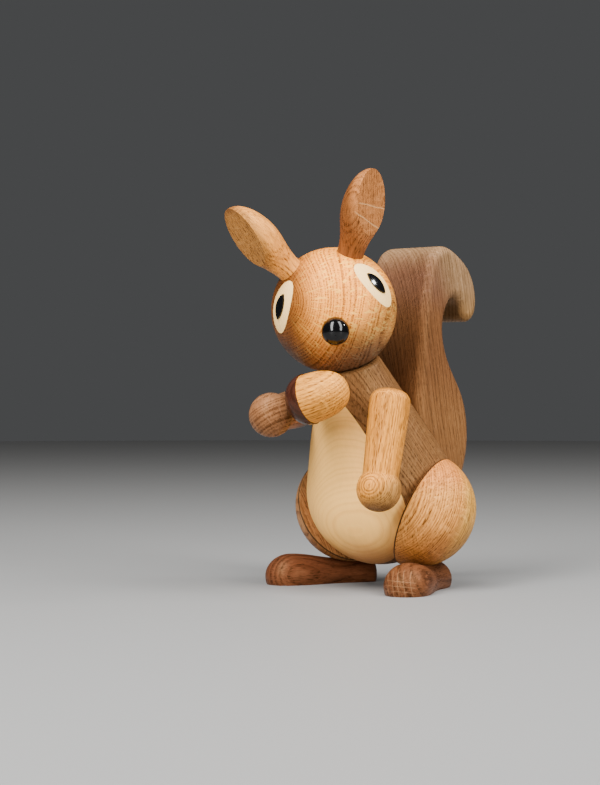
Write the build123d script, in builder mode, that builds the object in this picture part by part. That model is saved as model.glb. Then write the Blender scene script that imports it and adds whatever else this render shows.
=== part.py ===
from build123d import *
from math import acos, asin, atan, cos, degrees, radians, sin, sqrt, tan
import os

# Standing squirrel figurine of turned wood that holds an acorn, in millimetres.
# It faces -Y, its left side is +X, and it stands on z = 0.

# Fits shared by the pieces
glue_gap = 0.05
running_gap = 0.05
seat_gap = 0.1
turning_gap = 0.3
end_room = 1.0
cut_overrun = 3.0
dowel_chamfer = 0.6
# Handle length that makes a Bezier curve a quarter of an oval; a longer one is blunter
oval_share = 0.5523

# Body: a ball that runs into a cone, leaning forward
lean_angle = 21.1
body_ball_r = 32.0
body_ball_back = 14.45
neck_reach = 58.6
neck_r = 13.69
neck_round = 2.4
dish_rim = 2.2
belly_depth = 15.7

# Thighs: near half balls glued to flats on the body, a little ahead of the flats' centres
thigh_r = 24.8
thigh_height = 34.0
thigh_sink = 2.4
thigh_ahead = 3.7
thigh_lift = 0.64
thigh_edge_round = 0.6
hip_flat_depth = 9.35
hip_dip_angle = 22.9
hip_sweep_angle = 18.9
hip_dowel_r = 4.0
hip_dowel_in_body = 10.0
hip_dowel_in_thigh = 10.0

# Feet: turned, cut flat at the sole
foot_length = 50.5
foot_splay_angle = 22.3
foot_out = 9.15
foot_ahead = 11.0
foot_axis_height = 3.5
toe_r = 9.7
toe_round = 11.2
waist_r = 7.3
waist_reach = 19.0
heel_r = 7.9
heel_round = 2.6
foot_dowel_r = 3.0
foot_dowel_in_foot = 6.0
foot_dowel_in_thigh = 10.0

# Head: a ball that turns on a dowel
head_r = 26.5
head_turn_angle = 40.9
neck_dowel_r = 4.0
neck_dowel_in_head = 16.0
neck_dowel_in_body = 15.0
neck_sleeve_wall = 2.0
sleeve_recess = 0.8

# Ears: turned leaves with one flat, on tenons
left_ear_azimuth_angle = 78.2
right_ear_azimuth_angle = 73.3
left_ear_elevation_angle = 60.1
right_ear_elevation_angle = 58.0
ear_length = 37.3
ear_base_r = 5.6
ear_belly_r = 9.2
ear_belly_reach = 20.3
ear_flat_turn_angle = 46.0
ear_flat_reach = 11.3
ear_flat_slope_angle = 18.4
ear_tenon_r = 3.0
ear_tenon_length = 9.0

# Eyes: oval inlays with an almond pupil
eye_azimuth_angle = 57.7
eye_elevation_angle = 22.4
eye_lean_angle = 15.2
eye_half_length = 11.4
eye_half_width = 6.6
eye_depth = 5.0
pupil_half_length = 5.6
pupil_half_width = 2.7
pupil_depth = 2.2
pupil_rise = 0.6

# Nose: a bead on a shank
nose_elevation_angle = -4.0
nose_r = 5.8
nose_out = 1.6
nose_shank_r = 2.0
nose_shank_length = 11.0

# Arms: turned, with a ball for a hand
shoulder_reach = 39.1
shoulder_azimuth_angle = 67.8
arm_gap = 0.8
arm_top_r = 8.5
arm_top_reach = 8.5
arm_top_round = 5.0
arm_wrist_r = 7.5
arm_length = 33.7
hand_r = 9.3
left_arm_rest_angle = 31.4
right_arm_rest_angle = 106.1
shoulder_dowel_r = 3.0
shoulder_dowel_in_arm = 10.0
shoulder_dowel_in_body = 10.0
shoulder_sleeve_wall = 1.5

# Acorn: nut and cap on a peg in the right hand
acorn_turn_angle = 26.9
acorn_lean_angle = 9.3
acorn_lift = 1.6
acorn_cap_r = 10.8
acorn_cap_depth = 9.6
acorn_nut_r = 10.4
acorn_nut_length = 18.0
acorn_nut_share = 0.68
acorn_peg_r = 2.0
acorn_peg_in_hand = 8.0
acorn_peg_in_nut = 8.0

# Tail: a board in the mid plane, scooped to the back of the body
tail_height = 110.0
tail_depth = 54.7
tail_width = 34.0
tail_base_height = 37.5
tail_front = 8.1
tail_edge_round = 4.0
tail_dowel_r = 3.0
tail_dowel_in_tail = 8.0
tail_dowel_in_body = 12.0
upper_tail_dowel_reach = 25.0
lower_tail_dowel_angle = 25.0
# Shares of tail_depth and tail_height: up the back to the tip of the curl, then over the top and
# down the front to the root inside the scoop
tail_back_shares = [
    (0.58, 0.0), (0.75, 0.04), (0.855, 0.13), (0.895, 0.265), (0.82, 0.415), (0.67, 0.53),
    (0.585, 0.645), (0.615, 0.745), (0.715, 0.795), (0.80, 0.77), (0.845, 0.722), (0.905, 0.703),
]
tail_front_shares = [
    (0.905, 0.703), (0.965, 0.723), (1.0, 0.78), (0.98, 0.85), (0.90, 0.92), (0.77, 0.97),
    (0.60, 1.0), (0.455, 0.97), (0.385, 0.885), (0.345, 0.775), (0.305, 0.645), (0.29, 0.50),
    (0.26, 0.33), (0.25, 0.15), (0.36, 0.03), (0.58, 0.0),
]

sides = {"left": 1, "right": -1}
os.makedirs("parts", exist_ok=True)


def upright(plane):
    """The plane through the given plane's axis, with that axis up the page."""
    return Plane(plane.origin, x_dir=plane.x_dir, z_dir=-plane.y_dir)


def centre_axis(plane):
    return Axis(plane.origin, plane.z_dir)


def spun(plane, angle):
    """The plane turned about its own axis."""
    turned_x = plane.x_dir * cos(radians(angle)) + plane.y_dir * sin(radians(angle))
    return Plane(plane.origin, x_dir=turned_x, z_dir=plane.z_dir)


def toward(plane, azimuth, elevation):
    """Direction in a plane's frame: azimuth from its front toward its left, elevation up its axis."""
    level = cos(radians(elevation))
    sideways = plane.x_dir * (sin(radians(azimuth)) * level)
    forward = plane.y_dir * (-cos(radians(azimuth)) * level)
    return sideways + forward + plane.z_dir * sin(radians(elevation))


def quarter_round(radius, base, tip, share=oval_share):
    """Rounded end of a turned profile, from full radius at the base to the axis at the tip."""
    handle_up = base + (tip - base) * share
    return Bezier((radius, base), (radius, handle_up), (radius * share, tip), (0, tip))


def drill(plane, radius, depth):
    """Round bore from the plane downward, open at the top, in the piece that is being made."""
    with Locations(plane.offset(cut_overrun)):
        Cylinder(
            radius,
            depth + cut_overrun,
            align=(Align.CENTER, Align.CENTER, Align.MAX),
            mode=Mode.SUBTRACT,
        )


def make_dowel(label, plane, radius, below, above):
    """Round dowel through the plane's centre, reaching below and above the plane."""
    with BuildPart() as dowel:
        with Locations(plane.offset(-below)):
            Cylinder(radius, below + above, align=(Align.CENTER, Align.CENTER, Align.MIN))
        chamfer(dowel.edges().filter_by(GeomType.CIRCLE), dowel_chamfer)
    dowel.part.label = label
    export_step(dowel.part, f"parts/{label}.step")


def make_sleeve(label, plane, bore_r, outer_r, length):
    """Friction sleeve whose outer end lies on the plane."""
    with BuildPart() as sleeve:
        with BuildSketch(plane):
            Circle(outer_r)
            Circle(bore_r, mode=Mode.SUBTRACT)
        extrude(amount=-length)
    sleeve.part.label = label
    export_step(sleeve.part, f"parts/{label}.step")


# The thighs stand on the feet and carry the body; the cone runs from the ball to the neck
hip_reach = body_ball_r - hip_flat_depth
dip = radians(hip_dip_angle)
sweep = radians(hip_sweep_angle)
body_ball_height = thigh_height + (hip_reach - thigh_sink) * sin(dip) - thigh_lift * cos(dip)
taper = asin(body_ball_r / sqrt(neck_reach**2 + neck_r**2)) - atan(neck_r / neck_reach)
apex_reach = body_ball_r / sin(taper)
dish_mouth_r = neck_r - dish_rim
belly_reach = body_ball_r - belly_depth

# Body frame: z runs up the leaning axis from the ball's centre, -y is the front
lean = radians(lean_angle)
body = Plane(
    origin=(0, body_ball_back, body_ball_height),
    x_dir=(1, 0, 0),
    z_dir=(0, -sin(lean), cos(lean)),
)
front = -body.y_dir

# Head frame
head_ball_gap_r = head_r + turning_gap
head_reach = neck_reach + sqrt(head_ball_gap_r**2 - dish_mouth_r**2)
dish_plane = body.offset(head_reach - head_ball_gap_r)
head_base = body.offset(head_reach)
head_frame = spun(head_base, head_turn_angle)
head_foot = head_base.offset(-head_r)
# The ball's poles point sideways and its seam runs down the back, clear of all that is let in
head_ball = Plane(head_frame.origin, x_dir=head_frame.y_dir, z_dir=head_frame.x_dir)

# Hip flats, with x to the front, and thigh centres
hip_flat = {}
thigh_centre = {}
for side, hand in sides.items():
    outward = Vector(hand * cos(dip) * cos(sweep), cos(dip) * sin(sweep), -sin(dip))
    ahead = Vector(hand * sin(sweep), -cos(sweep), 0)
    flat = Plane(origin=body.origin + outward * hip_reach, x_dir=ahead, z_dir=outward)
    hip_flat[side] = flat
    in_flat = flat.x_dir * thigh_ahead - flat.y_dir * (hand * thigh_lift)
    thigh_centre[side] = flat.offset(-thigh_sink).origin + in_flat

# Shoulder frames: z points out of the body, x runs down the cone
shoulder = {}
for side, hand in sides.items():
    around = radians(shoulder_azimuth_angle)
    radial = front * cos(around) + body.x_dir * (hand * sin(around))
    shoulder_r = (apex_reach - shoulder_reach) * tan(taper)
    shoulder[side] = Plane(
        origin=body.offset(shoulder_reach).origin + radial * shoulder_r,
        x_dir=radial * sin(taper) - body.z_dir * cos(taper),
        z_dir=radial * cos(taper) + body.z_dir * sin(taper),
    )

# Arm frames: z runs from the shoulder to the hand, x points out of the body
arm_offset = arm_top_r + arm_gap
arm_rest_angles = {"left": left_arm_rest_angle, "right": right_arm_rest_angle}
arm_frame = {}
for side, hand in sides.items():
    swing = radians(arm_rest_angles[side])
    forward = shoulder[side].y_dir * -hand
    down_arm = shoulder[side].x_dir * cos(swing) + forward * sin(swing)
    arm_frame[side] = Plane(
        origin=shoulder[side].offset(arm_offset).origin,
        x_dir=shoulder[side].z_dir,
        z_dir=down_arm,
    )

# Acorn frame: z runs from the right hand's surface to the tip of the nut
acorn_inward = -arm_frame["right"].x_dir * cos(radians(acorn_turn_angle))
acorn_upward = -arm_frame["right"].y_dir * sin(radians(acorn_turn_angle))
acorn_dir = (acorn_inward + acorn_upward) * cos(radians(acorn_lean_angle))
acorn_dir += arm_frame["right"].z_dir * sin(radians(acorn_lean_angle))
right_hand = arm_frame["right"].offset(arm_length).origin
acorn_above = arm_frame["right"].x_dir * sin(radians(acorn_turn_angle))
acorn_above -= arm_frame["right"].y_dir * cos(radians(acorn_turn_angle))
acorn_seat = right_hand + acorn_dir * hand_r + acorn_above * acorn_lift
acorn_base = Plane(origin=acorn_seat, z_dir=acorn_dir)
acorn_rim = acorn_base.offset(seat_gap + acorn_cap_depth)

# Tail dowel frames: z points out of the back of the body
back_normal = body.y_dir * cos(taper) + body.z_dir * sin(taper)
back_r = (apex_reach - upper_tail_dowel_reach) * tan(taper)
upper_back = body.offset(upper_tail_dowel_reach).origin + body.y_dir * back_r
lower_normal = Vector(0, cos(radians(lower_tail_dowel_angle)), sin(radians(lower_tail_dowel_angle)))
lower_back = body.origin + lower_normal * body_ball_r
tail_dowel_plane = {
    "upper": Plane(origin=upper_back, x_dir=body.x_dir, z_dir=back_normal),
    "lower": Plane(origin=lower_back, x_dir=body.x_dir, z_dir=lower_normal),
}

# Foot frames: z runs from the heel to the toe along the turning axis
foot_frame = {}
foot_dowel_plane = {}
for side, hand in sides.items():
    splay = radians(foot_splay_angle)
    toe_dir = Vector(hand * sin(splay), -cos(splay), 0)
    centre = thigh_centre[side]
    middle = Vector(centre.X + hand * foot_out, centre.Y - foot_ahead, foot_axis_height)
    foot_frame[side] = Plane(origin=middle - toe_dir * (foot_length / 2), x_dir=(0, 0, 1), z_dir=toe_dir)
    dowel_foot = middle + toe_dir * toe_dir.dot(centre - middle)
    foot_dowel_plane[side] = Plane(origin=(dowel_foot.X, dowel_foot.Y, centre.Z - thigh_r))


# Pear blank that the torso and the belly are cut from
with BuildPart() as body_blank:
    with BuildSketch(upright(body)):
        with BuildLine():
            ball = CenterArc((0, 0), body_ball_r, -90, 90 + degrees(taper))
            flank = Line(ball @ 1, (neck_r, neck_reach))
            Polyline(flank @ 1, (0, neck_reach), ball @ 0)
        make_face()
    revolve(axis=centre_axis(body))
    neck_edge = body_blank.edges().filter_by(GeomType.CIRCLE).sort_by(centre_axis(body))[-1]
    fillet(neck_edge, neck_round)

belly_plane = Plane(origin=body.origin + front * belly_reach, x_dir=body.x_dir, z_dir=front)
neck_bore_r = neck_dowel_r + running_gap
neck_sleeve_r = neck_bore_r + neck_sleeve_wall
shoulder_bore_r = shoulder_dowel_r + running_gap
shoulder_sleeve_r = shoulder_bore_r + shoulder_sleeve_wall

# Torso
with BuildPart() as torso:
    add(body_blank.part)
    split(bisect_by=belly_plane, keep=Keep.BOTTOM)
    for side in sides:
        split(bisect_by=hip_flat[side], keep=Keep.BOTTOM)
    with Locations(head_base):
        Sphere(head_ball_gap_r, mode=Mode.SUBTRACT)
    drill(dish_plane, neck_sleeve_r + glue_gap, neck_dowel_in_body + end_room)
    for side in sides:
        drill(shoulder[side], shoulder_sleeve_r + glue_gap, shoulder_dowel_in_body + end_room)
        drill(hip_flat[side], hip_dowel_r + glue_gap, hip_dowel_in_body + end_room)
    for plane in tail_dowel_plane.values():
        drill(plane, tail_dowel_r + glue_gap, tail_dowel_in_body + end_room)
torso.part.label = "torso"
export_step(torso.part, "parts/torso.step")

# Belly
with BuildPart() as belly:
    add(body_blank.part)
    split(bisect_by=belly_plane, keep=Keep.TOP)
    for side in sides:
        split(bisect_by=hip_flat[side], keep=Keep.BOTTOM)
belly.part.label = "belly"
export_step(belly.part, "parts/belly.step")

# Thighs and their dowels
for side in sides:
    with BuildPart() as thigh:
        with Locations(thigh_centre[side]):
            Sphere(thigh_r)
        split(bisect_by=hip_flat[side], keep=Keep.TOP)
        rim = thigh.faces().filter_by(GeomType.PLANE).edges()
        fillet(rim, thigh_edge_round)
        drill(-hip_flat[side], hip_dowel_r + glue_gap, hip_dowel_in_thigh + end_room)
        drill(-foot_dowel_plane[side], foot_dowel_r + glue_gap, foot_dowel_in_thigh + end_room)
    thigh.part.label = f"{side}_thigh"
    export_step(thigh.part, f"parts/{side}_thigh.step")
    make_dowel(
        f"{side}_hip_dowel", hip_flat[side], hip_dowel_r, hip_dowel_in_body, hip_dowel_in_thigh
    )

# Feet and their dowels
for side in sides:
    with BuildPart() as foot:
        with BuildSketch(upright(foot_frame[side])):
            with BuildLine():
                toe_reach = foot_length - toe_round
                toe = quarter_round(toe_r, toe_reach, foot_length)
                waist = Spline(
                    (heel_r, heel_round),
                    (waist_r, waist_reach),
                    toe @ 0,
                    tangents=[(0, 1), (0, 1)],
                )
                heel = CenterArc((heel_r - heel_round, heel_round), heel_round, -90, 90)
                Polyline(toe @ 1, (0, 0), heel @ 0)
            make_face()
        revolve(axis=centre_axis(foot_frame[side]))
        split(bisect_by=Plane.XY, keep=Keep.TOP)
        with Locations(thigh_centre[side]):
            Sphere(thigh_r + seat_gap, mode=Mode.SUBTRACT)
        drill(foot_dowel_plane[side], foot_dowel_r + glue_gap, foot_dowel_in_foot + end_room)
    foot.part.label = f"{side}_foot"
    export_step(foot.part, f"parts/{side}_foot.step")
    make_dowel(
        f"{side}_foot_dowel",
        foot_dowel_plane[side],
        foot_dowel_r,
        foot_dowel_in_foot,
        foot_dowel_in_thigh,
    )

# Tail
tail_origin = Vector(0, body_ball_back - tail_front, tail_base_height)
tail_plane = Plane(origin=tail_origin, x_dir=(0, 1, 0), z_dir=(1, 0, 0))


def tail_points(shares):
    return [(back * tail_depth, up * tail_height) for back, up in shares]


with BuildPart() as tail:
    with BuildSketch(tail_plane.offset(-tail_width / 2)):
        with BuildLine():
            Spline(*tail_points(tail_back_shares))
            Spline(*tail_points(tail_front_shares))
        make_face()
    extrude(amount=tail_width)
    tail_sides = tail.faces().sort_by(Axis.X)
    fillet(tail_sides[0].edges() + tail_sides[-1].edges(), tail_edge_round)
    with BuildSketch(upright(body)):
        with BuildLine():
            ball = CenterArc((0, 0), body_ball_r + seat_gap, -90, 90 + degrees(taper))
            flank = Line(ball @ 1, (neck_r + seat_gap, neck_reach))
            Polyline(flank @ 1, (0, neck_reach), ball @ 0)
        make_face()
    revolve(axis=centre_axis(body), mode=Mode.SUBTRACT)
    for plane in tail_dowel_plane.values():
        drill(-plane, tail_dowel_r + glue_gap, tail_dowel_in_tail + end_room)
tail.part.label = "tail"
export_step(tail.part, "parts/tail.step")
for level, plane in tail_dowel_plane.items():
    make_dowel(
        f"tail_{level}_dowel", plane, tail_dowel_r, tail_dowel_in_body, tail_dowel_in_tail
    )

# Places on the head
nose_dir = toward(head_frame, 0, nose_elevation_angle)
nose_plane = Plane(origin=head_frame.origin + nose_dir * (head_r + nose_out), z_dir=nose_dir)
ear_azimuth_angles = {"left": left_ear_azimuth_angle, "right": right_ear_azimuth_angle}
ear_elevation_angles = {"left": left_ear_elevation_angle, "right": right_ear_elevation_angle}
ear_plane = {}
eye_plane = {}
for side, hand in sides.items():
    ear_dir = toward(head_frame, hand * ear_azimuth_angles[side], ear_elevation_angles[side])
    ear_outer = head_frame.x_dir * hand
    ear_outer = (ear_outer - ear_dir * ear_outer.dot(ear_dir)).normalized()
    ear_root = Plane(head_frame.origin + ear_dir * head_r, x_dir=ear_outer, z_dir=ear_dir)
    ear_plane[side] = spun(ear_root, -hand * ear_flat_turn_angle)
    eye_dir = toward(head_frame, hand * eye_azimuth_angle, eye_elevation_angle)
    eye_level = head_frame.z_dir.cross(eye_dir)
    eye_root = Plane(head_frame.origin + eye_dir * head_r, x_dir=eye_level, z_dir=eye_dir)
    eye_plane[side] = spun(eye_root, hand * eye_lean_angle)

# Head
with BuildPart() as head:
    with Locations(head_ball):
        Sphere(head_r)
    with Locations(nose_plane):
        Sphere(nose_r + seat_gap, mode=Mode.SUBTRACT)
    drill(nose_plane, nose_shank_r + glue_gap, nose_shank_length + end_room)
    drill(-head_foot, neck_dowel_r + glue_gap, neck_dowel_in_head + end_room)
    for side in sides:
        drill(ear_plane[side], ear_tenon_r + glue_gap, ear_tenon_length + end_room)
        with BuildSketch(eye_plane[side].offset(-eye_depth)):
            Ellipse(eye_half_width + glue_gap, eye_half_length + glue_gap)
        extrude(amount=eye_depth + cut_overrun, mode=Mode.SUBTRACT)
head.part.label = "head"
export_step(head.part, "parts/head.step")

make_dowel(
    "neck_dowel",
    head_foot,
    neck_dowel_r,
    neck_dowel_in_body + turning_gap,
    neck_dowel_in_head,
)
make_sleeve(
    "neck_sleeve",
    dish_plane.offset(-sleeve_recess),
    neck_bore_r,
    neck_sleeve_r,
    neck_dowel_in_body + end_room - sleeve_recess,
)

# Nose
with BuildPart() as nose:
    with Locations(nose_plane):
        Sphere(nose_r)
        Cylinder(nose_shank_r, nose_shank_length, align=(Align.CENTER, Align.CENTER, Align.MAX))
nose.part.label = "nose"
export_step(nose.part, "parts/nose.step")

# Ears
for side in sides:
    with BuildPart() as ear:
        with BuildSketch(upright(ear_plane[side])):
            with BuildLine():
                ear_foot = Line((0, -cut_overrun), (ear_base_r, -cut_overrun))
                ear_neck = Line(ear_foot @ 1, (ear_base_r, 0))
                ear_side = Spline(
                    ear_neck @ 1, (ear_belly_r, ear_belly_reach), tangents=[(0, 1), (0, 1)]
                )
                ear_tip = quarter_round(ear_belly_r, ear_belly_reach, ear_length)
                Line(ear_tip @ 1, ear_foot @ 0)
            make_face()
        revolve(axis=centre_axis(ear_plane[side]))
        flat_normal = ear_plane[side].x_dir * cos(radians(ear_flat_slope_angle))
        flat_normal += ear_plane[side].z_dir * sin(radians(ear_flat_slope_angle))
        flat_origin = ear_plane[side].origin + ear_plane[side].x_dir * ear_flat_reach
        split(bisect_by=Plane(origin=flat_origin, z_dir=flat_normal), keep=Keep.BOTTOM)
        with Locations(head_ball):
            Sphere(head_r + seat_gap, mode=Mode.SUBTRACT)
        with Locations(ear_plane[side].offset(ear_base_r)):
            Cylinder(
                ear_tenon_r,
                ear_tenon_length + ear_base_r,
                align=(Align.CENTER, Align.CENTER, Align.MAX),
            )
    ear.part.label = f"{side}_ear"
    export_step(ear.part, f"parts/{side}_ear.step")

# Eyes and pupils
for side in sides:
    with BuildPart() as eye:
        with BuildSketch(eye_plane[side].offset(-eye_depth)):
            Ellipse(eye_half_width, eye_half_length)
        extrude(amount=eye_depth + cut_overrun)
        with Locations(head_ball):
            Sphere(head_r, mode=Mode.INTERSECT)
        with BuildSketch(eye_plane[side].offset(-pupil_depth)):
            with BuildLine():
                almond = [(0, -pupil_half_length), (pupil_half_width, 0), (0, pupil_half_length)]
                ThreePointArc(*almond)
                mirror(about=Plane.YZ)
            make_face()
            offset(amount=glue_gap)
        extrude(amount=pupil_depth + cut_overrun, mode=Mode.SUBTRACT)
    eye.part.label = f"{side}_eye"
    export_step(eye.part, f"parts/{side}_eye.step")

    with BuildPart() as pupil:
        with BuildSketch(eye_plane[side].offset(-pupil_depth)):
            with BuildLine():
                ThreePointArc(*almond)
                mirror(about=Plane.YZ)
            make_face()
        extrude(amount=pupil_depth + cut_overrun)
        with Locations(head_ball):
            Sphere(head_r + pupil_rise, mode=Mode.INTERSECT)
    pupil.part.label = f"{side}_pupil"
    export_step(pupil.part, f"parts/{side}_pupil.step")

# Arms with their dowels and sleeves
wrist_angle = degrees(acos(arm_wrist_r / hand_r))
for side in sides:
    with BuildPart() as arm:
        with BuildSketch(upright(arm_frame[side])):
            with BuildLine():
                round_centre = (arm_top_r - arm_top_round, arm_top_round - arm_top_reach)
                cap = CenterArc(round_centre, arm_top_round, -90, 90)
                palm = CenterArc((0, arm_length), hand_r, -wrist_angle, 90 + wrist_angle)
                Polyline(cap @ 1, (arm_top_r, 0), palm @ 0)
                Polyline(palm @ 1, (0, -arm_top_reach), cap @ 0)
            make_face()
        revolve(axis=centre_axis(arm_frame[side]))
        arm_face = shoulder[side].offset(arm_gap)
        drill(-arm_face, shoulder_dowel_r + glue_gap, shoulder_dowel_in_arm + end_room)
        if side == "right":
            drill(acorn_base, acorn_peg_r + glue_gap, acorn_peg_in_hand + end_room)
    arm.part.label = f"{side}_arm"
    export_step(arm.part, f"parts/{side}_arm.step")
    make_dowel(
        f"{side}_shoulder_dowel",
        arm_face,
        shoulder_dowel_r,
        shoulder_dowel_in_body + arm_gap,
        shoulder_dowel_in_arm,
    )
    make_sleeve(
        f"{side}_shoulder_sleeve",
        shoulder[side].offset(-sleeve_recess),
        shoulder_bore_r,
        shoulder_sleeve_r,
        shoulder_dowel_in_body + end_room - sleeve_recess,
    )

# Acorn
with BuildPart() as acorn_cap:
    with BuildSketch(upright(acorn_rim)):
        with BuildLine():
            dome = quarter_round(acorn_cap_r, 0, -acorn_cap_depth)
            Polyline(dome @ 1, (0, 0), dome @ 0)
        make_face()
    revolve(axis=centre_axis(acorn_rim))
    drill(acorn_rim, acorn_peg_r + glue_gap, acorn_cap_depth + cut_overrun)
acorn_cap.part.label = "acorn_cap"
export_step(acorn_cap.part, "parts/acorn_cap.step")

with BuildPart() as acorn_nut:
    with BuildSketch(upright(acorn_rim)):
        with BuildLine():
            shell = quarter_round(acorn_nut_r, 0, acorn_nut_length, acorn_nut_share)
            Polyline(shell @ 1, (0, 0), shell @ 0)
        make_face()
    revolve(axis=centre_axis(acorn_rim))
    drill(-acorn_rim, acorn_peg_r + glue_gap, acorn_peg_in_nut + end_room)
acorn_nut.part.label = "acorn_nut"
export_step(acorn_nut.part, "parts/acorn_nut.step")

make_dowel(
    "acorn_peg",
    acorn_rim,
    acorn_peg_r,
    acorn_peg_in_hand + seat_gap + acorn_cap_depth,
    acorn_peg_in_nut,
)
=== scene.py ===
import bpy
import math
from mathutils import Matrix, Quaternion, Vector


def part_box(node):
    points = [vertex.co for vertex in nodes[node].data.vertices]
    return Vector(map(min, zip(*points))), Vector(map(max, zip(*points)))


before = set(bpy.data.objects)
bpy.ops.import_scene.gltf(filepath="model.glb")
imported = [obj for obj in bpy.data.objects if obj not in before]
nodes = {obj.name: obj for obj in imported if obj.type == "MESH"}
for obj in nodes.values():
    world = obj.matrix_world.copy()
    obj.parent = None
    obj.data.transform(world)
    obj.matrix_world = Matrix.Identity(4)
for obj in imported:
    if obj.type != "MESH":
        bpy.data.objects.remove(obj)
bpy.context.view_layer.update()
print("figurine loaded:", len(nodes), "pieces")

mm = 0.001    # the woods' dictionaries are in millimetres, the scene in metres


# small helpers for node trees

def feed(tree, source, socket):
    # another node's output is linked, anything else is set as the value
    if isinstance(source, bpy.types.NodeSocket):
        tree.links.new(source, socket)
    else:
        socket.default_value = source


def calc(tree, operation, first, second=0.0, clamp=False):
    node = tree.nodes.new("ShaderNodeMath")
    node.operation = operation
    node.use_clamp = clamp
    feed(tree, first, node.inputs[0])
    feed(tree, second, node.inputs[1])
    return node.outputs[0]


def vectorCalc(tree, operation, first, second=(0, 0, 0)):
    node = tree.nodes.new("ShaderNodeVectorMath")
    node.operation = operation
    feed(tree, first, node.inputs[0])
    feed(tree, second, node.inputs[1])
    return node.outputs["Value" if operation in ("LENGTH", "DOT_PRODUCT") else "Vector"]


def scaleVector(tree, vector, factor):
    node = tree.nodes.new("ShaderNodeVectorMath")
    node.operation = "SCALE"
    feed(tree, vector, node.inputs[0])
    feed(tree, factor, node.inputs["Scale"])
    return node.outputs["Vector"]


def ease(tree, value, low, high, atLow=0.0, atHigh=1.0):
    node = tree.nodes.new("ShaderNodeMapRange")
    node.interpolation_type = "SMOOTHSTEP"
    settings = {"Value": value, "From Min": low, "From Max": high, "To Min": atLow, "To Max": atHigh}
    for name, source in settings.items():
        feed(tree, source, node.inputs[name])
    return node.outputs["Result"]


def noise(tree, vector, stretch, detail=2.0, roughness=0.5, output="Fac"):
    node = tree.nodes.new("ShaderNodeTexNoise")
    node.inputs["Scale"].default_value = 1.0
    node.inputs["Detail"].default_value = detail
    node.inputs["Roughness"].default_value = roughness
    feed(tree, vectorCalc(tree, "MULTIPLY", vector, stretch), node.inputs["Vector"])
    return node.outputs[output]


def lineNoise(tree, value, scale):
    node = tree.nodes.new("ShaderNodeTexNoise")
    node.noise_dimensions = "1D"
    node.inputs["Scale"].default_value = scale
    node.inputs["Detail"].default_value = 1.0
    feed(tree, value, node.inputs["W"])
    return node.outputs["Fac"]


def sway(tree, value, amount):
    # noise lies about a half, so this goes both ways from zero
    return calc(tree, "MULTIPLY", calc(tree, "SUBTRACT", value, 0.5), amount)


def blendColour(tree, factor, first, second, mode="MIX"):
    node = tree.nodes.new("ShaderNodeMix")
    node.data_type = "RGBA"
    node.blend_type = mode
    feed(tree, factor, node.inputs[0])
    feed(tree, first, node.inputs[6])
    feed(tree, second, node.inputs[7])
    return node.outputs[2]


def newGroup(name, inputs, outputs):
    group = bpy.data.node_groups.new(name, "ShaderNodeTree")
    for label, kind, value in inputs:
        socket = group.interface.new_socket(name=label, in_out="INPUT", socket_type="NodeSocket" + kind)
        if value is not None:
            socket.default_value = value
    for label, kind in outputs:
        group.interface.new_socket(name=label, in_out="OUTPUT", socket_type="NodeSocket" + kind)
    return group, group.nodes.new("NodeGroupInput").outputs, group.nodes.new("NodeGroupOutput").inputs


# wood cut from a log: rings round the heart, pores along the grain, rays out from the heart

figurePlan = {
    "bendStretch": (0.045, 0.045, 0.014),       # stretches are per millimetre: across, across, along
    "ringDrift": 1.6, "ringDriftScale": 0.45,   # uneven width, in rings
    "earlyPeak": 0.12, "lateStart": 0.7, "lateDark": 0.3,
    "ringScale": 7.3, "ringFrom": 0.3, "ringTo": 0.7, "ringWeak": 0.45, "ringStrong": 1.2,
    "poreStretch": (2.0, 2.0, 0.26), "poreFrom": 0.52, "poreTo": 0.64, "poreEarly": 0.55, "poreLate": 0.45,
    "rayStretch": (1.6, 0.11, 0.42),            # round the heart, out from it, along the grain
    "rayFrom": 0.56, "rayTo": 0.68,
    "streakStretch": (0.8, 0.8, 0.03), "streakRough": 0.65,
    "blotchStretch": (0.05, 0.05, 0.03),
    "toneSwing": 2.0,
}


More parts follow.
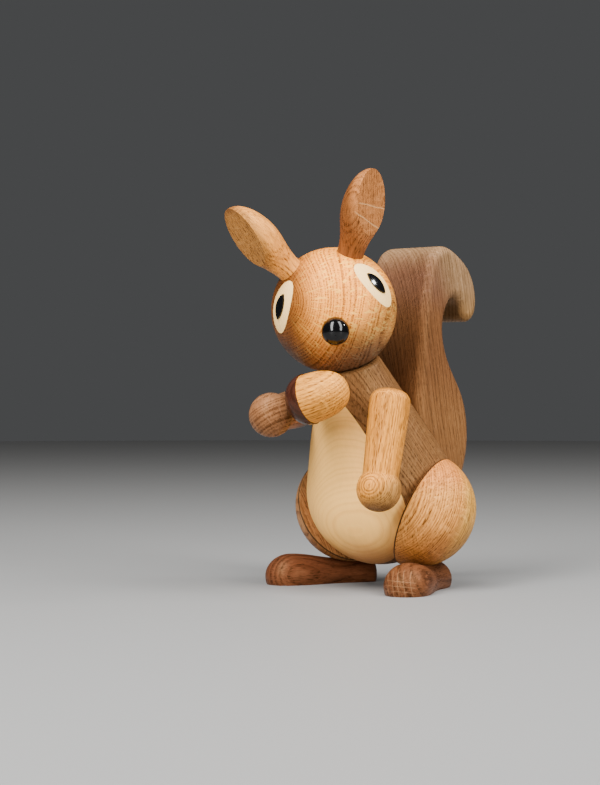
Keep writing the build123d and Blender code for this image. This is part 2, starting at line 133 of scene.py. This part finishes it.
def makeWoodFigure():
    plan = figurePlan
    group, give, take = newGroup("woodFigure", [
        ("Log Position", "Vector", None),      # millimetres, z along the grain, heart at x = y = 0
        ("Heart", "Float", 70.0),              # from the heart to the middle of the piece
        ("Ring Width", "Float", 1.5),
        ("Waver", "Float", 3.0),
        ("Ring Contrast", "Float", 0.6),
        ("Pore Amount", "Float", 0.5),
        ("Ray Amount", "Float", 0.4),
        ("Streak Amount", "Float", 0.25),
        ("Blotch Amount", "Float", 0.25),
        ("Pale Colour", "Color", (0.6, 0.4, 0.22, 1)),
        ("Dark Colour", "Color", (0.35, 0.19, 0.09, 1)),
        ("Pore Colour", "Color", (0.16, 0.08, 0.035, 1)),
        ("Ray Colour", "Color", (0.75, 0.52, 0.34, 1)),
    ], [("Colour", "Color"), ("Pores", "Float"), ("Rays", "Float"), ("Rings", "Float")])
    position = give["Log Position"]
    bend = noise(group, position, plan["bendStretch"], output="Color")
    bend = vectorCalc(group, "SUBTRACT", bend, (0.5, 0.5, 0.5))
    grown = vectorCalc(group, "ADD", position, scaleVector(group, bend, give["Waver"]))
    radius = vectorCalc(group, "LENGTH", vectorCalc(group, "MULTIPLY", grown, (1, 1, 0)))
    parts = group.nodes.new("ShaderNodeSeparateXYZ")
    feed(group, grown, parts.inputs[0])
    angle = calc(group, "ARCTAN2", parts.outputs[1], parts.outputs[0])
    around = calc(group, "MULTIPLY", angle, give["Heart"])

    # rings of uneven width and strength, dark where each begins
    count = calc(group, "DIVIDE", radius, give["Ring Width"])
    drift = calc(group, "MULTIPLY", lineNoise(group, count, plan["ringDriftScale"]), plan["ringDrift"])
    count = calc(group, "ADD", count, drift)
    share = calc(group, "FRACT", count)
    rise = ease(group, share, 0.0, plan["earlyPeak"])
    fall = ease(group, share, plan["earlyPeak"], plan["lateStart"], 1.0, 0.0)
    early = calc(group, "MULTIPLY", rise, fall)
    late = ease(group, share, plan["lateStart"], 1.0, 0.0, plan["lateDark"])
    strength = lineNoise(group, calc(group, "FLOOR", count), plan["ringScale"])
    strength = ease(group, strength, plan["ringFrom"], plan["ringTo"], plan["ringWeak"], plan["ringStrong"])
    rings = calc(group, "MULTIPLY", calc(group, "ADD", early, late, clamp=True), strength, clamp=True)

    # pores: short dark dashes, most of them in the early wood
    dash = noise(group, grown, plan["poreStretch"], 1.0)
    dash = ease(group, dash, plan["poreFrom"], plan["poreTo"])
    often = calc(group, "ADD", calc(group, "MULTIPLY", early, plan["poreEarly"]), plan["poreLate"])
    pores = calc(group, "MULTIPLY", dash, often)

    # rays: thin sheets that stand on the rings
    sheet = group.nodes.new("ShaderNodeCombineXYZ")
    for source, socket in zip((around, radius, parts.outputs[2]), sheet.inputs):
        feed(group, source, socket)
    rays = noise(group, sheet.outputs[0], plan["rayStretch"], 1.0)
    rays = ease(group, rays, plan["rayFrom"], plan["rayTo"])

    colour = give["Pale Colour"]
    for mask, amount, over in (
        (rings, "Ring Contrast", "Dark Colour"),
        (pores, "Pore Amount", "Pore Colour"),
        (rays, "Ray Amount", "Ray Colour"),
    ):
        colour = blendColour(group, calc(group, "MULTIPLY", mask, give[amount]), colour, give[over])
    streak = noise(group, grown, plan["streakStretch"], roughness=plan["streakRough"])
    blotch = noise(group, position, plan["blotchStretch"])
    streakTone = sway(group, streak, give["Streak Amount"])
    tone = calc(group, "ADD", streakTone, sway(group, blotch, give["Blotch Amount"]))
    tone = calc(group, "ADD", calc(group, "MULTIPLY", tone, plan["toneSwing"]), 1.0)
    feed(group, scaleVector(group, colour, tone), take["Colour"])
    feed(group, pores, take["Pores"])
    feed(group, rays, take["Rays"])
    feed(group, rings, take["Rings"])
    return group


# end grain drinks more oil and goes darker

def makeEndGrain():
    group, give, take = newGroup("endGrain", [
        ("Normal", "Vector", None),
        ("Grain", "Vector", None),
        ("Start", "Float", 0.45),              # how far the surface faces along the grain before it darkens
        ("Amount", "Float", 0.5),
        ("Colour", "Color", None),
        ("Tint", "Color", (0.55, 0.42, 0.34, 1)),
    ], [("Colour", "Color")])
    facing = calc(group, "ABSOLUTE", vectorCalc(group, "DOT_PRODUCT", give["Normal"], give["Grain"]))
    mask = calc(group, "MULTIPLY", ease(group, facing, give["Start"], 1.0), give["Amount"])
    feed(group, blendColour(group, mask, give["Colour"], give["Tint"], "MULTIPLY"), take["Colour"])
    return group


# thin line where a plane cuts the surface, such as a joint's shadow or one wide ray

linePlan = {"driftStretch": (120, 120, 120), "core": 0.25, "fadeOut": 0.8}


def makeThinLine():
    group, give, take = newGroup("thinLine", [
        ("Position", "Vector", None),          # metres, in the figurine's frame
        ("Through", "Vector", None),
        ("Normal", "Vector", (0, 0, 1)),
        ("Width", "Float", 0.0006),
        ("Reach", "Float", 1.0),               # how far the line runs from the point it goes through
        ("Waver", "Float", 0.0),
        ("Amount", "Float", 0.8),
        ("Colour", "Color", None),
        ("Line Colour", "Color", (0.04, 0.018, 0.01, 1)),
    ], [("Colour", "Color")])
    offset = vectorCalc(group, "SUBTRACT", give["Position"], give["Through"])
    drift = noise(group, give["Position"], linePlan["driftStretch"], 1.0)
    away = vectorCalc(group, "DOT_PRODUCT", offset, give["Normal"])
    away = calc(group, "ABSOLUTE", calc(group, "ADD", away, sway(group, drift, give["Waver"])))
    mask = ease(group, calc(group, "DIVIDE", away, give["Width"]), linePlan["core"], 1.0, 1.0, 0.0)
    far = calc(group, "DIVIDE", vectorCalc(group, "LENGTH", offset), give["Reach"])
    mask = calc(group, "MULTIPLY", mask, ease(group, far, linePlan["fadeOut"], 1.0, 1.0, 0.0))
    mask = calc(group, "MULTIPLY", mask, give["Amount"])
    feed(group, blendColour(group, mask, give["Colour"], give["Line Colour"]), take["Colour"])
    return group


# slow change of tone across a piece, from heartwood to sapwood; several pieces use it for painted shade and
# painted light

fadePlan = {"cloudStretch": (90, 90, 60), "cloud": 0.5}


def makeToneFade():
    group, give, take = newGroup("toneFade", [
        ("Position", "Vector", None),          # metres, in the figurine's frame
        ("Start", "Vector", None),
        ("Stretch", "Vector", (0, 0, 1)),      # way across the change, divided by its length twice
        ("Colour", "Color", None),
        ("Tint", "Color", (0.6, 0.5, 0.4, 1)),
    ], [("Colour", "Color")])
    offset = vectorCalc(group, "SUBTRACT", give["Position"], give["Start"])
    way = vectorCalc(group, "DOT_PRODUCT", offset, give["Stretch"])
    cloud = noise(group, give["Position"], fadePlan["cloudStretch"])
    way = calc(group, "ADD", way, sway(group, cloud, fadePlan["cloud"]))
    mask = ease(group, way, 0.0, 1.0)
    feed(group, blendColour(group, mask, give["Colour"], give["Tint"], "MULTIPLY"), take["Colour"])
    return group


woodFigure = makeWoodFigure()
endGrain = makeEndGrain()
thinLine = makeThinLine()
toneFade = makeToneFade()
print("shared grain, end grain, line and fade groups made")


# oiled wood from the groups

oilFinish = {
    "poreRough": 0.16, "rayShine": 0.06, "grainDepth": 0.0003, "ringDepth": 0.25,
    "specular": 0.3, "specularTint": (1.0, 0.6, 0.25), "coatRough": 0.25,
}


def placeGroup(tree, group, **values):
    node = tree.nodes.new("ShaderNodeGroup")
    node.node_tree = group
    for name, value in values.items():
        label = "".join(" " + c if c.isupper() else c for c in name).strip().title()
        feed(tree, value, node.inputs[label])
    return node


def rgba(colour):
    return (*colour, 1.0)


def shade(tone, share):
    return rgba([min(1.0, t * s) for t, s in zip(tone, share)])


def inMetres(place):
    return [c * mm for c in place]


def logFrame(grain, bark):
    # x points from the heart to the bark, z along the grain
    along = Vector(grain).normalized()
    out = Vector(bark)
    out = (out - along * out.dot(along)).normalized()
    return along, out, Matrix((out, along.cross(out), along)).transposed()


def logPlace(tree, node, wood, coords):
    along, out, turn = logFrame(wood["grain"], wood["bark"])
    low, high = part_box(node)
    middle = Vector(wood["middle"]) * mm if "middle" in wood else (low + high) / 2
    mapping = tree.nodes.new("ShaderNodeMapping")
    mapping.vector_type = "TEXTURE"
    mapping.inputs["Location"].default_value = middle - out * wood["heart"] * mm
    mapping.inputs["Rotation"].default_value = turn.to_euler()
    mapping.inputs["Scale"].default_value = (mm, mm, mm)
    feed(tree, coords.outputs["Object"], mapping.inputs["Vector"])
    return along, mapping.outputs["Vector"]


def woodColour(tree, wood, coords, along, colour):
    position = coords.outputs["Object"]
    if wood["ends"] > 0:
        colour = placeGroup(
            tree, endGrain, normal=coords.outputs["Normal"], grain=along, amount=wood["ends"], colour=colour,
            tint=rgba(wood["endTint"]),
        ).outputs["Colour"]
    for fade in wood.get("fades", []):
        squared = Vector(fade["reach"]).length_squared
        colour = placeGroup(
            tree, toneFade, position=position, start=inMetres(fade["start"]),
            stretch=[c / mm / squared for c in fade["reach"]], colour=colour, tint=rgba(fade["tint"]),
        ).outputs["Colour"]
    for line in wood.get("lines", []):
        colour = placeGroup(
            tree, thinLine, position=position, through=inMetres(line["through"]),
            normal=Vector(line["normal"]).normalized(), width=line["width"] * mm, waver=line["waver"] * mm,
            reach=line["reach"] * mm, amount=line["amount"], colour=colour, lineColour=rgba(line["colour"]),
        ).outputs["Colour"]
    return colour


def woodMaterial(node, wood):
    material = bpy.data.materials.new(node + "Wood")
    material.use_nodes = True
    tree = material.node_tree
    shader = tree.nodes["Principled BSDF"]
    coords = tree.nodes.new("ShaderNodeTexCoord")
    along, logPosition = logPlace(tree, node, wood, coords)
    figure = placeGroup(
        tree, woodFigure, logPosition=logPosition, heart=wood["heart"], ringWidth=wood["ring"],
        waver=wood["waver"], ringContrast=wood["contrast"], poreAmount=wood["pores"], rayAmount=wood["rays"],
        streakAmount=wood["streaks"], blotchAmount=wood["blotch"],
        paleColour=shade(wood["tone"], wood["pale"]), darkColour=shade(wood["tone"], wood["dark"]),
        poreColour=shade(wood["tone"], wood["pore"]), rayColour=shade(wood["tone"], wood["ray"]),
    ).outputs
    feed(tree, woodColour(tree, wood, coords, along, figure["Colour"]), shader.inputs["Base Color"])
    rough = calc(tree, "ADD", calc(tree, "MULTIPLY", figure["Pores"], oilFinish["poreRough"]), wood["rough"])
    shine = calc(tree, "MULTIPLY", figure["Rays"], oilFinish["rayShine"])
    feed(tree, calc(tree, "SUBTRACT", rough, shine), shader.inputs["Roughness"])
    hollow = calc(tree, "MULTIPLY", figure["Rings"], oilFinish["ringDepth"])
    hollow = calc(tree, "ADD", figure["Pores"], hollow)
    bump = tree.nodes.new("ShaderNodeBump")
    bump.inputs["Strength"].default_value = wood["relief"]
    bump.inputs["Distance"].default_value = oilFinish["grainDepth"]
    feed(tree, calc(tree, "SUBTRACT", 1.0, hollow), bump.inputs["Height"])
    feed(tree, bump.outputs["Normal"], shader.inputs["Normal"])
    shader.inputs["Specular IOR Level"].default_value = oilFinish["specular"]
    shader.inputs["Specular Tint"].default_value = rgba(oilFinish["specularTint"])
    shader.inputs["Coat Weight"].default_value = wood["coat"]
    shader.inputs["Coat Roughness"].default_value = oilFinish["coatRough"]
    return material


def dress(node, material):
    mesh = nodes[node].data
    mesh.materials.clear()
    mesh.materials.append(material)


def dressWood(node, wood):
    dress(node, woodMaterial(node, wood))


# oak and maple as they usually are, changed piece by piece below
# pale, dark, pore and ray are shares of the tone
oak = {
    "heart": 70, "ring": 1.4, "waver": 2.5, "contrast": 0.85, "pores": 0.85, "rays": 0.4, "streaks": 0.35,
    "blotch": 0.2, "rough": 0.45, "relief": 0.25, "coat": 0.0, "ends": 0.0, "endTint": (0.5, 0.36, 0.27),
    "pale": (1.25, 1.28, 1.3), "dark": (0.44, 0.36, 0.28),
    "pore": (0.2, 0.14, 0.1), "ray": (1.5, 1.65, 1.9),
}
maple = {
    "heart": 120, "ring": 1.2, "waver": 2.0, "contrast": 0.5, "pores": 0.06, "rays": 0.1, "streaks": 0.06,
    "blotch": 0.1, "rough": 0.45, "relief": 0.05, "coat": 0.0, "ends": 0.0,
    "pale": (1.05, 1.07, 1.1), "dark": (0.84, 0.77, 0.68),
    "pore": (0.75, 0.65, 0.5), "ray": (1.08, 1.1, 1.15),
}

torsoWood = {
    **oak, "grain": (0, -0.36, 0.93), "bark": (0.15, -0.92, -0.36), "heart": 110, "ring": 1.5,
    "tone": (0.155, 0.068, 0.0225),
}
dressWood("torso", torsoWood)

bellyWood = {
    **maple, "grain": (0, -0.5, 0.87), "bark": (0.26, -0.84, -0.48), "heart": 130, "ring": 1.1,
    "tone": (1.0, 0.51, 0.125),
    "fades": [{"start": (10, -22, 24), "reach": (0, 8, -20), "tint": (0.5, 0.4, 0.52)}],    # painted shade below, with a rosy cast
}
dressWood("belly", bellyWood)

# shadow in the joint of a thigh
seam = {"width": 0.6, "waver": 0, "reach": 1000, "amount": 0.95, "colour": (0.012, 0.005, 0.003)}

leftThighWood = {
    **oak, "grain": (0.331, 0.324, 0.886), "bark": (-0.308, -0.851, 0.426), "middle": (19.08, 17.07, 34),
    "ring": 1.1, "waver": 4.0, "contrast": 0.82, "rays": 0.5, "streaks": 0.5,
    "tone": (0.52, 0.207, 0.041),
    "lines": [{**seam, "through": (20.18, 21.36, 32.28), "normal": (0.8715, 0.2984, -0.3891)}],
    "fades": [
        {"start": (30, 8, 36), "reach": (-3, -3, -26), "tint": (0.6, 0.52, 0.6)},    # painted shade below
        {"start": (38, 8, 40), "reach": (0, 0, 10), "tint": (0.98, 0.82, 0.75)},     # redder top
        {"start": (42, 14, 34), "reach": (2, 7, -2), "tint": (1.0, 1.2, 1.05)},      # yellower edge
    ],
}
dressWood("left_thigh", leftThighWood)

rightThighWood = {
    **oak, "grain": (-0.32, -0.165, 0.933), "bark": (-0.6, -0.75, -0.2), "heart": 75, "ring": 1.5,
    "tone": (0.3, 0.128, 0.041),
    "lines": [{**seam, "through": (-20.18, 21.36, 32.28), "normal": (-0.8715, 0.2984, -0.3891)}],
}
dressWood("right_thigh", rightThighWood)

# pale rays that cross on the left toe
toeRay = {"width": 0.26, "waver": 1.3, "reach": 8, "amount": 0.34, "colour": (0.3, 0.155, 0.075)}
toePlan = {
    "middle": (37, -17, 5), "heights": (2.2, 4.4, 6.6), "flat": (0, 0.1, 1),
    "steps": (-4.5, -2.2, 0, 2.4, 5), "slope": 0.4, "upright": (0.9, 0.37, 0.12),
}


def toeLines():
    x, y, z = toePlan["middle"]
    flat = [
        {**toeRay, "through": (x, y, height), "normal": toePlan["flat"]}
        for height in toePlan["heights"]
    ]
    upright = [
        {**toeRay, "through": (x + step, y + step * toePlan["slope"], z), "normal": toePlan["upright"]}
        for step in toePlan["steps"]
    ]
    return flat + upright


leftFootWood = {
    **oak, "grain": (0.379, -0.925, 0), "bark": (0.8, 0.33, 0.5), "heart": 50, "ring": 2.1, "rays": 0.8,
    "tone": (0.096, 0.032, 0.0118), "lines": toeLines(),
}
dressWood("left_foot", leftFootWood)

rightFootWood = {
    **oak, "grain": (-0.379, -0.925, 0), "bark": (0.925, -0.379, 0.2), "heart": 80, "ring": 1.9,
    "contrast": 0.75, "tone": (0.108, 0.034, 0.0135),
}
dressWood("right_foot", rightFootWood)

tailWood = {
    **oak, "grain": (0, -0.2, 0.98), "bark": (0.6, 0.75, 0.15), "heart": 120, "waver": 4.0,
    "contrast": 0.6, "pores": 0.5, "tone": (0.11, 0.0435, 0.0155),
    "fades": [
        {"start": (10, 30, 112), "reach": (0, 0, 20), "tint": (1.0, 1.1, 1.6)},      # mauve top
        {"start": (10, 42, 112), "reach": (0, 13, 9), "tint": (1.7, 2.2, 2.0)},      # khaki curl
        {"start": (10, 30, 100), "reach": (0, 4, -35), "tint": (1.3, 1.4, 1.3)},     # painted light, paler towards the foot of the tail
    ],
}
dressWood("tail", tailWood)

headWood = {
    **oak, "grain": (0.362, -0.925, -0.1), "bark": (0.873, 0.382, -0.3), "middle": (0, -15.36, 118.55),
    "heart": 16.8, "ring": 1.2, "waver": 1.8, "contrast": 0.8, "rays": 0.9, "streaks": 0.2,
    "tone": (0.82, 0.27, 0.028),
    "fades": [
        # painted shade round the right eye, on the chin, the left cheek and the back
        {"start": (-2.2, -17.4, 118), "reach": (-11.9, -10.7, 0), "tint": (0.19, 0.168, 0.3)},
        {"start": (0, -15, 113), "reach": (0, 0, -16), "tint": (0.31, 0.37, 0.92)},
        {"start": (3.6, -12.2, 115), "reach": (7.7, 7.0, -7.8), "tint": (0.5, 0.6, 1.1)},
        {"start": (0, -4, 118), "reach": (0, 14, 0), "tint": (0.5, 0.64, 2.1)},
    ],
}
dressWood("head", headWood)

# two wide rays across the left ear's flat
wideRay = {"width": 0.4, "waver": 1.2, "reach": 9.0, "amount": 0.5, "colour": (0.6, 0.33, 0.14)}

leftEarWood = {
    **oak, "grain": (0.362, -0.089, 0.928), "bark": (0, -0.97, -0.1), "heart": 150, "ring": 1.1,
    "contrast": 0.6, "tone": (0.3, 0.108, 0.03),
    "fades": [{"start": (23, -22, 157), "reach": (-5, -1, 0), "tint": (0.52, 0.47, 0.42)}],    # painted shade on the round side
    "lines": [
        {**wideRay, "through": (24.78, -19.14, 160.86), "normal": (-0.2569, -0.1183, -0.9592)},
        {**wideRay, "through": (23.97, -20.4, 154.45), "normal": (-0.4727, -0.3351, -0.815)},
    ],
}
dressWood("left_ear", leftEarWood)

rightEarWood = {
    **oak, "grain": (-0.281, -0.668, 0.689), "bark": (0.93, -0.23, 0.16), "heart": 120, "ring": 1.3,
    "contrast": 0.4, "rays": 0.5, "tone": (0.54, 0.205, 0.034),
    "fades": [
        # flat, tip
        {"start": (-12.2, -47.3, 143.8), "reach": (-0.4, -2.6, -1.6), "tint": (0.55, 0.58, 0.72)},
        {"start": (-17, -57, 157), "reach": (-2, -5, 6), "tint": (0.4, 0.3, 0.35)},
    ],
}
dressWood("right_ear", rightEarWood)

eyeWood = {
    **maple, "grain": (0, -0.1, 0.99), "bark": (0.5, -0.8, 0.3), "contrast": 0.2, "tone": (1.0, 0.61, 0.23),
}
for side in ("left", "right"):
    dressWood(side + "_eye", eyeWood)

leftArmWood = {
    **oak, "grain": (0.067, -0.245, -0.967), "bark": (0.27, -0.913, 0.32), "heart": 40, "ring": 0.65,
    "waver": 1.5, "contrast": 0.92, "ends": 0.8, "endTint": (0.4, 0.38, 0.6), "tone": (0.53, 0.198, 0.022),
    "fades": [
        {"start": (31.8, -27, 46.2), "reach": (3.6, 3.6, -6.3), "tint": (0.58, 0.7, 1.5)},    # painted shade under the hand
    ],
}
dressWood("left_arm", leftArmWood)

rightArmWood = {
    **oak, "grain": (0.447, -0.893, -0.063), "bark": (-0.37, -0.33, 0.85), "heart": 40, "ring": 1.5,
    "contrast": 0.9, "pores": 0.9, "ends": 0.3, "tone": (0.2, 0.085, 0.035),
}
dressWood("right_arm", rightArmWood)

nutWood = {
    **oak, "grain": (0.925, 0.262, 0.275), "bark": (0, -0.45, 0.9), "heart": 60, "contrast": 0.65,
    "tone": (0.55, 0.212, 0.026),
}
dressWood("acorn_nut", nutWood)

capWood = {
    **oak, "grain": (0.3, 0.5, 0.8), "bark": (0.5, -0.8, 0.2), "heart": 60, "ring": 2.4, "contrast": 0.8,
    "pores": 0.4, "rays": 0.05, "rough": 0.3, "coat": 0.3, "relief": 0.1, "tone": (0.037, 0.01, 0.0053),
}
dressWood("acorn_cap", capWood)
print("oak, maple and dark wood on the turned pieces")


# black nose and pupils, polished

gloss = {
    "colour": (0.002, 0.002, 0.0022), "rough": 0.06, "specular": 0.35,
    "smear": 0.06, "smearStretch": (400, 400, 400), "smearDetail": 3.0, "smearRough": 0.6,
}


def glossMaterial():
    material = bpy.data.materials.new("polishedBlack")
    material.use_nodes = True
    tree = material.node_tree
    shader = tree.nodes["Principled BSDF"]
    coords = tree.nodes.new("ShaderNodeTexCoord").outputs["Object"]
    smear = noise(tree, coords, gloss["smearStretch"], gloss["smearDetail"], gloss["smearRough"])
    rough = calc(tree, "ADD", calc(tree, "MULTIPLY", smear, gloss["smear"]), gloss["rough"])
    feed(tree, rough, shader.inputs["Roughness"])
    shader.inputs["Base Color"].default_value = rgba(gloss["colour"])
    shader.inputs["Specular IOR Level"].default_value = gloss["specular"]
    return material


polishedBlack = glossMaterial()
for node in ("nose", "left_pupil", "right_pupil"):
    dress(node, polishedBlack)
print("nose and pupils polished")


# dowels and sleeves inside

dowelWood = {**maple, "grain": (0, 0, 1), "bark": (1, 0, 0), "contrast": 0.4, "tone": (0.2, 0.1, 0.042)}
for node in nodes:
    if node.endswith("dowel") or node.endswith("peg"):
        dressWood(node, dowelWood)

sleeveNylon = {
    "colour": (0.11, 0.07, 0.045), "darkShare": 0.85, "speckStretch": (900, 900, 900),
    "rough": 0.5, "speckRough": 0.1,
}


def nylonMaterial():
    material = bpy.data.materials.new("sleeveNylon")
    material.use_nodes = True
    tree = material.node_tree
    shader = tree.nodes["Principled BSDF"]
    coords = tree.nodes.new("ShaderNodeTexCoord").outputs["Object"]
    speck = noise(tree, coords, sleeveNylon["speckStretch"])
    dark = rgba([c * sleeveNylon["darkShare"] for c in sleeveNylon["colour"]])
    feed(tree, blendColour(tree, speck, rgba(sleeveNylon["colour"]), dark), shader.inputs["Base Color"])
    rough = calc(tree, "MULTIPLY", speck, sleeveNylon["speckRough"])
    feed(tree, calc(tree, "ADD", rough, sleeveNylon["rough"]), shader.inputs["Roughness"])
    return material


nylon = nylonMaterial()
for node in nodes:
    if node.endswith("sleeve"):
        dress(node, nylon)
print("dowels and sleeves dressed")


# floor, light and camera, in metres

floorPlan = {"radius": 2.1, "corners": 160, "colour": (0.22, 0.217, 0.212), "rough": 0.6}


def makeFloor():
    count = floorPlan["corners"]
    turns = [2 * math.pi * k / count for k in range(count)]
    rim = [(floorPlan["radius"] * math.cos(t), floorPlan["radius"] * math.sin(t), 0) for t in turns]
    mesh = bpy.data.meshes.new("floor")
    mesh.from_pydata(rim, [], [range(count)])
    floor = bpy.data.objects.new("floor", mesh)
    bpy.context.scene.collection.objects.link(floor)
    material = bpy.data.materials.new("paleFloor")
    material.use_nodes = True
    shader = material.node_tree.nodes["Principled BSDF"]
    shader.inputs["Base Color"].default_value = rgba(floorPlan["colour"])
    shader.inputs["Roughness"].default_value = floorPlan["rough"]
    mesh.materials.append(material)


makeFloor()

studio = {"colour": (0.86, 0.88, 0.9), "strength": 0.08}    # faint light from all round
world = bpy.data.worlds.new("studio")
bpy.context.scene.world = world
world.use_nodes = True
background = world.node_tree.nodes["Background"]
background.inputs["Color"].default_value = rgba(studio["colour"])
background.inputs["Strength"].default_value = studio["strength"]

# two tall strips, tilted so that their reflections in the nose stay apart, and two small boxes
lampAim = (0, 0, 0.11)
lampPlan = [
    {"name": "leftStrip", "place": (0.078, -0.746, 0.72), "size": (0.3, 1.4), "roll": 15, "power": 28.0},
    {"name": "rightStrip", "place": (0.748, 0.052, 0.72), "size": (0.3, 1.4), "roll": -15, "power": 21.5},
    {"name": "topBox", "place": (0.3, -0.38, 0.85), "size": (0.4, 0.3), "power": 7.0, "mirrored": False},
    {"name": "sideBox", "place": (0.466, 0.529, 0.62), "size": (0.07, 0.07), "power": 2.0},
]
for lamp in lampPlan:
    light = bpy.data.lights.new(lamp["name"], "AREA")
    light.shape = "RECTANGLE"
    light.size, light.size_y = lamp["size"]
    light.energy = lamp["power"]
    holder = bpy.data.objects.new(lamp["name"], light)
    holder.location = lamp["place"]
    holder.visible_glossy = lamp.get("mirrored", True)    # the top box stays out of the nose
    aim = (Vector(lampAim) - Vector(lamp["place"])).to_track_quat("-Z", "Y")
    roll = Quaternion((0, 0, 1), math.radians(lamp.get("roll", 0)))
    holder.rotation_euler = (aim @ roll).to_euler()
    bpy.context.scene.collection.objects.link(holder)

cameraPlan = {
    "place": (0.58092, -0.64818, 0.0895), "yaw": 42.0, "right": -0.026316, "up": -0.00664,
    "lens": 93.23, "sensor": 36.0,
}


def makeCamera():
    yaw = math.radians(cameraPlan["yaw"])
    right = Vector((math.cos(yaw), math.sin(yaw), 0))
    ahead = Vector((-math.sin(yaw), math.cos(yaw), 0))
    look = ahead + right * cameraPlan["right"] + Vector((0, 0, cameraPlan["up"]))
    data = bpy.data.cameras.new("camera")
    data.lens = cameraPlan["lens"]
    data.sensor_width = cameraPlan["sensor"]
    camera = bpy.data.objects.new("camera", data)
    camera.location = cameraPlan["place"]
    camera.rotation_euler = look.to_track_quat("-Z", "Y").to_euler()
    bpy.context.scene.collection.objects.link(camera)
    bpy.context.scene.camera = camera


makeCamera()
print("floor, lamps and camera placed")
